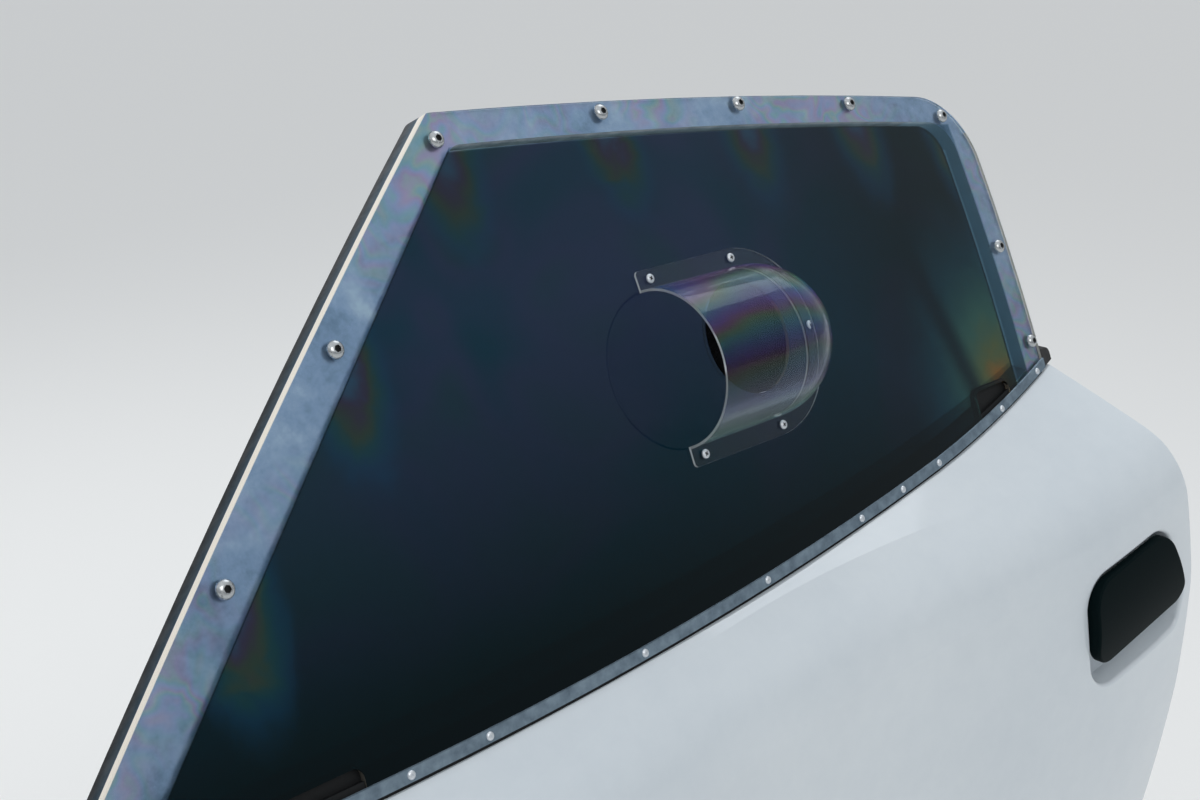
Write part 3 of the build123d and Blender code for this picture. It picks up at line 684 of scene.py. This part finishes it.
def webbingFinish():
    finish = Finish("webbing", Roughness=0.8, Sheen_Weight=0.4)
    x, z = finish.axis("X"), finish.axis("Z")
    ribX, ribZ = webbing["ribs"]
    rib = finish.maths("SINE", x * ribX + z * ribZ)
    cord = finish.maths("SINE", z * webbing["cords"])
    weave = finish.spread(rib * 0.6 + cord * 0.4, -0.8, 0.8)
    finish.put(Base_Color=finish.blend(weave, webbing["low"], webbing["high"]))
    return finish.bump(weave, 0.5, 0.0005)


finishes = {
    "body_paint": bodyPaintFinish(),
    "inner_paint": innerPaintFinish(),
    "handle_plastic": grainFinish(darkGrains, "handlePlastic"),
    "frame_metal": frameMetalFinish(),
    "clear_pane": clearPaneFinish(),
    "clear_scoop": clearScoopFinish(),
    "strip_metal": grainFinish(wornMetals, "stripMetal"),
    "seal_rubber": grainFinish(darkGrains, "sealRubber"),
    "card_carbon": carbonFinish("cardCarbon"),
    "strap_webbing": webbingFinish(),
    "trim_plastic": grainFinish(darkGrains, "trimPlastic"),
    "lever_metal": grainFinish(wornMetals, "leverMetal"),
    "hinge_steel": grainFinish(wornMetals, "hingeSteel"),
    "pin_steel": grainFinish(wornMetals, "pinSteel"),
    "mirror_carbon": carbonFinish("mirrorCarbon"),
    "mirror_face": Finish(
        "mirrorFace", Metallic=1.0, Roughness=0.02, Base_Color=rgb(0.88, 0.89, 0.90)
    ),
}
extras = {
    "steelHead": grainFinish(wornMetals, "steelHead"),
    "zincHead": grainFinish(wornMetals, "zincHead"),
    "ventShadePlug": ventShadeFinish(),
    "paintedShade": grainFinish(darkGrains, "shadeStandIn"),
}
slotOf = {row["node"]: row["material_slot"] for row in frame["record"]["subparts"]}
for name, cadNode in nodes.items():
    cadNode.data.materials.clear()
    cadNode.data.materials.append(finishes[slotOf[name]].material)
print("finishes made:", len(finishes) + len(extras))


def skinRings(bm, rings):  # faces between closed rings, and over the first and the last
    count = len(rings[0])
    for low, high in zip(rings, rings[1:]):
        for step in range(count):
            after = (step + 1) % count
            bm.faces.new((low[step], low[after], high[after], high[step]))
    bm.faces.new(rings[0])
    bm.faces.new(rings[-1])


def addPiece(name, bm, finish, body, sharp=35):
    bmesh.ops.recalc_face_normals(bm, faces=bm.faces)
    mesh = bpy.data.meshes.new(name)
    bm.to_mesh(mesh)
    bm.free()
    mesh.materials.append(finish.material)
    mesh.shade_smooth()
    mesh.set_sharp_from_angle(angle=math.radians(sharp))
    piece = bpy.data.objects.new(name, mesh)
    bpy.context.scene.collection.objects.link(piece)
    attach(piece, body)
    print(name, "on", body)
    return piece


# Turned heads: rows of radius, height and outline in mm, from the rim to the middle
headRows = {
    "button": [
        (7.0, 0.0, "round"), (7.0, 0.5, "round"), (6.7, 1.7, "round"), (5.9, 2.8, "round"),
        (4.7, 3.7, "round"), (3.3, 4.2, "round"), (2.5, 4.2, "hex"), (2.4, 1.7, "hex"),
        (0.6, 1.2, "round"),
    ],
    "pan": [
        (4.0, 0.0, "round"), (4.0, 0.9, "round"), (3.6, 1.6, "round"), (2.8, 2.0, "round"),
        (2.1, 2.05, "cross"), (1.6, 0.9, "cross"), (0.3, 0.7, "round"),
    ],
    "dome": [
        (3.4, 0.0, "round"), (3.3, 0.5, "round"), (2.6, 1.2, "round"), (1.4, 1.6, "round"),
        (0.7, 1.5, "round"), (0.5, 0.9, "round"),
    ],
    "hexBolt": [
        (9.0, 0.0, "round"), (9.0, 1.4, "round"), (6.5, 1.4, "hex"), (6.5, 6.2, "hex"),
        (5.8, 6.8, "round"), (1.0, 6.8, "round"),
    ],
    "quarterTurn": [
        (9.0, 0.0, "round"), (8.6, 1.2, "round"), (7.6, 1.8, "round"), (7.2, 1.0, "round"),
        (6.4, 1.0, "round"), (6.0, 1.9, "round"), (4.8, 2.0, "slot"), (4.6, 0.8, "slot"),
        (0.4, 0.8, "round"),
    ],
    # near-black floors set in the sockets, painted shade of the hex and cross sockets
    "hexRecess": [(2.35, 1.9, "hex"), (2.35, 2.6, "hex")],
    "crossRecess": [(1.95, 1.2, "cross"), (1.95, 1.75, "cross")],
    "flush": [
        (5.5, 0.0, "round"), (5.3, 0.4, "round"), (2.4, 0.45, "hex"), (2.3, -1.8, "hex"),
        (0.3, -2.0, "round"),
    ],
}
headOutline = {"steps": 32, "crossWidth": 0.32, "slotWidth": 0.2}


def ringReach(shape, radius, angle):
    if shape == "hex":
        return radius / math.cos((angle + math.pi / 6) % (math.pi / 3) - math.pi / 6)
    if shape == "cross":
        narrow = min(abs(math.sin(angle)), abs(math.cos(angle)))
        return radius * min(1.0, headOutline["crossWidth"] / max(narrow, headOutline["crossWidth"]))
    if shape == "slot":
        narrow = abs(math.sin(angle))
        return radius * min(1.0, headOutline["slotWidth"] / max(narrow, headOutline["slotWidth"]))
    return radius


def lathe(bm, point, normal, rows, spin):
    side = normal.orthogonal().normalized()
    other = normal.cross(side)
    rings = []
    for radius, height, shape in rows:
        ring = []
        for step in range(headOutline["steps"]):
            angle = 2 * math.pi * step / headOutline["steps"]
            reach = ringReach(shape, radius * mm, angle)
            turned = angle + spin
            spot = point + normal * height * mm
            spot += side * reach * math.cos(turned) + other * reach * math.sin(turned)
            ring.append(bm.verts.new(spot))
        rings.append(ring)
    skinRings(bm, rings)


# Heads of one kind, and near-black floors in their sockets as a piece of their own, painted shade
# of the sockets
def addHeads(name, kind, spots, finish, body, paintedShade=None):
    heads, floors = bmesh.new(), bmesh.new()
    for point, normal in spots:
        spin = random.uniform(0, math.pi)
        lathe(heads, point, normal, headRows[kind], spin)
        if paintedShade:
            lathe(floors, point, normal, headRows[paintedShade], spin)
    print(name, len(spots), "heads")
    addPiece(name, heads, finish, body)
    if paintedShade:
        addPiece(name + "Recess", floors, extras["paintedShade"], body)
    else:
        floors.free()


addHeads(
    "frameScrews", "button", [paneSpot(u, v) for u, v in frameScrews],
    extras["steelHead"], "door", "hexRecess",
)

# Pan heads through the scoop's flange, at u and v in mm, and one at its end
scoopScrews = {"u": (-93.5, 7.2), "v": (-81.5, 68.5), "end": (79, -6.5), "rise": 0.0023}
scoopSpots = [(u, v) for u in scoopScrews["u"] for v in scoopScrews["v"]] + [scoopScrews["end"]]
addHeads(
    "scoopScrews", "pan", [paneSpot(u, v, scoopScrews["rise"]) for u, v in scoopSpots],
    extras["zincHead"], "door", "crossRecess",
)

# Rivets of the belt strip, by their places along the door
stripRivets = {
    "x": (-0.2, -0.2975, -0.369, -0.531, -0.684, -0.8205, -0.887, -0.949, -1.069, -1.145),
    "rise": 0.0018,
}
addHeads(
    "stripRivets", "dome",
    [paneSpotAt(x, beltZ(x), stripRivets["rise"]) for x in stripRivets["x"]],
    extras["zincHead"], "door",
)

# Hinge bolts on the post leaves and button heads on the door leaves
hinges = {
    "spacing": 0.27,
    "boltSpacing": 0.04,
    "leaf": 0.006,
    "doorLeaf": (-0.084, 0.014),
    "screwSpacing": 0.024,
}
boltSpots = []
leafSpots = []
for side in (-1, 1):
    middle = side * hinges["spacing"] / 2
    for end in (-0.5, 0.5):
        boltPlace = Vector((end * hinges["boltSpacing"], hinges["leaf"], middle))
        leafPlace = Vector((*hinges["doorLeaf"], middle + end * hinges["screwSpacing"]))
        boltSpots.append((boltPlace, Vector((0, 1, 0))))
        leafSpots.append((leafPlace, Vector((1, 0, 0))))
addHeads("hingeBolts", "hexBolt", boltSpots, extras["zincHead"], "root")
addHeads("leafScrews", "button", leafSpots, extras["steelHead"], "door", "hexRecess")

# Near-black plug pressed into the vent hole, painted shade of the dark seen through it: depths are
# from the pane's outer face, and both faces are dished a little inside part of the radius
ventShadePlug = {
    "radius": 0.0498,
    "outer": 0.0026,
    "inner": 0.0068,
    "round": 0.0008,
    "dishPart": 0.4,
    "dish": 0.0004,
    "steps": 64,
}


def makeVentShadePlug():
    bm = bmesh.new()
    wide, outer, inner = ventShadePlug["radius"], ventShadePlug["outer"], ventShadePlug["inner"]
    narrow = wide - ventShadePlug["round"]
    dished = ventShadePlug["dishPart"] * narrow
    profile = [
        (dished, outer - ventShadePlug["dish"]), (narrow, outer), (wide, outer + ventShadePlug["round"]),
        (wide, (outer + inner) / 2), (wide, inner - ventShadePlug["round"]), (narrow, inner),
        (dished, inner + ventShadePlug["dish"]),
    ]
    rings = []
    for radius, depth in profile:
        ring = []
        for step in range(ventShadePlug["steps"]):
            angle = 2 * math.pi * step / ventShadePlug["steps"]
            spot = pane["vent"] - paneOut * depth
            spot += (Vector((1, 0, 0)) * math.cos(angle) + paneUp * math.sin(angle)) * radius
            ring.append(bm.verts.new(spot))
        rings.append(ring)
    skinRings(bm, rings)
    addPiece("ventShadePad", bm, extras["ventShadePlug"], "door")


makeVentShadePlug()

# Near-black sheets and blocks in the notches of the pane's lower edge, painted shade that makes the
# notches read black, each with its rear x, front x and top above the belt. Sheets and blocks have
# heights above the belt and depths into the pane.
notchShadeSizes = {
    "spots": ((-1.093, -1.035, 0.024), (-0.263, -0.18, 0.019)),
    "steps": 16,
    "levels": 4,
    "round": 0.010,
    "sheet": {"foot": 0.0053, "over": 0.003, "front": 0.0056, "back": 0.0086},
    "block": {"foot": -0.0038, "top": 0.009, "room": 0.0006, "front": 0.0012, "back": 0.0049},
}


# A sheet bent to the pane, from columns of x, low z and high z
def bentSheet(bm, columns, front, back):
    levels = [level / notchShadeSizes["levels"] for level in range(notchShadeSizes["levels"] + 1)]
    rings = []
    for x, low, high in columns:
        ring = [(low + (high - low) * level, front) for level in levels]
        ring += [(low + (high - low) * level, back) for level in reversed(levels)]
        rings.append([bm.verts.new(paneSpotAt(x, z, -depth)[0]) for z, depth in ring])
    skinRings(bm, rings)


def makeNotchShadePads():
    bm = bmesh.new()
    sheet, block, rounding = notchShadeSizes["sheet"], notchShadeSizes["block"], notchShadeSizes["round"]
    for rearX, frontX, top in notchShadeSizes["spots"]:
        columns, lowColumns = [], []
        wide = frontX - rearX
        sheetWide = wide + 2 * sheet["over"]
        high = beltZ((rearX + frontX) / 2) + top + sheet["over"]
        for step in range(notchShadeSizes["steps"] + 1):
            part = step / notchShadeSizes["steps"]
            x = rearX - sheet["over"] + sheetWide * part
            bend = max(0.0, rounding - min(part, 1 - part) * sheetWide)
            drop = rounding - math.sqrt(rounding**2 - bend**2)
            columns.append((x, beltZ(x) + sheet["foot"], high - drop))
            x = rearX + block["room"] + (wide - 2 * block["room"]) * part
            lowColumns.append((x, beltZ(x) + block["foot"], beltZ(x) + block["top"]))
        bentSheet(bm, columns, sheet["front"], sheet["back"])
        bentSheet(bm, lowColumns, block["front"], block["back"])
    addPiece("notchShadePads", bm, extras["paintedShade"], "door")


makeNotchShadePads()

# Black bead in the groove between the belt strip and the skin, painted shade that fills the groove:
# profile as z from the belt and depth below the pane's outer face
beltGrooveShade = {
    "steps": 90,
    "inset": 0.004,
    "profile": (
        (-0.0042, 0.0012), (-0.0060, 0.0018), (-0.0078, 0.0014), (-0.0078, 0.0042),
        (-0.0042, 0.0042),
    ),
}


def makeBeltGrooveShade():
    strip = nodes["belt_strip"]
    ends = [(strip.matrix_world @ Vector(corner)).x for corner in strip.bound_box]
    start, end = max(ends) - beltGrooveShade["inset"], min(ends) + beltGrooveShade["inset"]
    bm = bmesh.new()
    rings = []
    for step in range(beltGrooveShade["steps"] + 1):
        x = start + (end - start) * step / beltGrooveShade["steps"]
        rings.append([
            bm.verts.new(paneSpotAt(x, beltZ(x) + rise, -depth)[0])
            for rise, depth in beltGrooveShade["profile"]
        ])
    skinRings(bm, rings)
    addPiece("beltGrooveShade", bm, extras["paintedShade"], "door")


makeBeltGrooveShade()

# Pull strap of woven webbing between its anchors: profile as parts of its width and thickness
strap = {
    "x": -0.69,
    "z": 0.06,
    "span": 0.19,
    "width": 0.032,
    "thickness": 0.0024,
    "tab": 0.026,
    "rise": 0.038,
    "low": -0.0178,
    "steps": 96,
    "steepest": 1.2,
    "profile": (
        (-0.5, 0.25), (-0.497, 0.0), (-0.47, 0.0), (0.47, 0.0), (0.497, 0.0), (0.5, 0.25),
        (0.5, 0.75), (0.497, 1.0), (0.47, 1.0), (0.25, 1.04), (0.0, 1.05), (-0.25, 1.04),
        (-0.47, 1.0), (-0.497, 1.0), (-0.5, 0.75),
    ),
}


def strapLevel(x):  # the outer face of the strap: flat tabs and a round bow between them
    half = strap["span"] / 2
    reach = abs(x - strap["x"])
    if reach >= half:
        return 0.0
    radius = (half**2 + strap["rise"] ** 2) / (2 * strap["rise"])
    return math.sqrt(radius**2 - reach**2) - (radius - strap["rise"])


def makeStrap():
    bm = bmesh.new()
    half = strap["span"] / 2 + strap["tab"]
    delta = 1e-4
    rings = []
    for step in range(strap["steps"] + 1):
        x = strap["x"] - half + 2 * half * step / strap["steps"]
        slope = (strapLevel(x + delta) - strapLevel(x - delta)) / (2 * delta)
        slope = max(-strap["steepest"], min(strap["steepest"], slope))
        along = Vector((1, -slope, 0)).normalized()
        out = Vector((along.y, -along.x, 0)) * strap["thickness"]
        middle = Vector((x, strap["low"] - strapLevel(x), strap["z"]))
        rings.append([
            bm.verts.new(middle + out * across + Vector((0, 0, wide * strap["width"])))
            for wide, across in strap["profile"]
        ])
    skinRings(bm, rings)
    piece = addPiece("pullStrap", bm, finishes["strap_webbing"], "door", 50)
    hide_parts("pull_strap")


makeStrap()

# Quarter-turn fasteners round the card, and screws of the strap, the lever and the latch
inboard = Vector((0, -1, 0))
cardFasteners = {
    "y": -0.0175,
    "xz": (
        (-0.155, 0.17), (-0.155, -0.02), (-0.165, -0.18), (-0.42, 0.17), (-0.42, -0.19),
        (-0.69, 0.2), (-0.69, -0.19), (-0.94, 0.235), (-0.94, -0.19), (-1.14, 0.2),
        (-1.175, 0.03), (-1.14, -0.17),
    ),
}
trimScrews = {"places": ((-0.801, -0.0226, 0.06), (-0.579, -0.0226, 0.06), (-0.292, -0.0305, 0.13))}
latchScrews = {"x": -1.24, "yz": ((0.004, 0.074), (0.004, 0.026), (0.03, 0.05))}
addHeads(
    "cardFasteners", "quarterTurn",
    [(Vector((x, cardFasteners["y"], z)), inboard) for x, z in cardFasteners["xz"]],
    extras["steelHead"], "door",
)
addHeads(
    "trimScrews", "flush", [(Vector(place), inboard) for place in trimScrews["places"]],
    extras["steelHead"], "door",
)
addHeads(
    "latchScrews", "flush",
    [(Vector((latchScrews["x"], y, z)), Vector((-1, 0, 0))) for y, z in latchScrews["yz"]],
    extras["zincHead"], "door",
)

# Floor, sky and lamps. The sky goes from its low to its high strength at skyTop.
stage = {
    "floorZ": -0.55,
    "size": 80.0,
    "middle": Vector((-0.6, 0.0, 0.3)),
    "pale": rgb(0.84, 0.84, 0.83),
    "sky": rgb(0.94, 0.97, 1.0),
    "skyTop": 0.9,
    "skyStrength": (0.35, 0.88),
    "lamps": {
        "key": {
            "place": (0.6, 2.4, 2.6), "size": (2.4, 1.6), "power": 24, "colour": (1.0, 0.98, 0.95)
        },
        "fill": {
            "place": (-2.6, -0.7, 3.0), "size": (1.8, 1.8), "power": 14, "colour": (0.92, 0.96, 1.0)
        },
        "back": {
            "place": (-0.4, -2.6, 2.2), "size": (2.4, 1.4), "power": 22, "colour": (1.0, 1.0, 1.0)
        },
    },
}


def makeFloor():
    mesh = bpy.data.meshes.new("floor")
    half = stage["size"] / 2
    corners = [
        (stage["middle"].x + across * half, stage["middle"].y + along * half, stage["floorZ"])
        for across, along in ((-1, -1), (1, -1), (1, 1), (-1, 1))
    ]
    mesh.from_pydata(corners, [], [(0, 1, 2, 3)])
    floor = bpy.data.objects.new("floor", mesh)
    bpy.context.scene.collection.objects.link(floor)
    finish = Finish("floorPale", Roughness=0.7, Base_Color=stage["pale"])
    mesh.materials.append(finish.material)


def makeWorld():
    world = bpy.data.worlds.new("studio")
    bpy.context.scene.world = world
    world.use_nodes = True
    graph = Graph(world.node_tree)
    height = graph.axis("Z", graph.node("TexCoord", out="Generated"))
    sky = world.node_tree.nodes["Background"]
    graph.feed(sky.inputs["Color"], stage["sky"])
    strength = graph.spread(height, 0.0, stage["skyTop"], *stage["skyStrength"])
    graph.feed(sky.inputs["Strength"], strength)


def makeLamp(name, values):
    data = bpy.data.lights.new(name, "AREA")
    data.shape = "RECTANGLE"
    data.size, data.size_y = values["size"]
    data.energy = values["power"]
    data.color = values["colour"]
    lamp = bpy.data.objects.new(name, data)
    bpy.context.scene.collection.objects.link(lamp)
    lamp.location = values["place"]
    aim = stage["middle"] - lamp.location
    lamp.rotation_mode = "QUATERNION"
    lamp.rotation_quaternion = aim.to_track_quat("-Z", "Y")


def makeCamera():
    data = bpy.data.cameras.new("camera")
    data.sensor_width = camera["sensor"]
    data.lens = camera["lens"]
    data.clip_start, data.clip_end = camera["clip"]
    eye = bpy.data.objects.new("camera", data)
    bpy.context.scene.collection.objects.link(eye)
    right, up = Vector(camera["right"]), Vector(camera["up"])
    turn = Matrix((right, up, right.cross(up))).transposed().to_4x4()
    eye.matrix_world = Matrix.Translation(camera["place"]) @ turn
    bpy.context.scene.camera = eye


makeFloor()
makeWorld()
for name, values in stage["lamps"].items():
    makeLamp(name, values)
makeCamera()
bpy.context.scene.view_settings.view_transform = "Standard"
print("stage made")
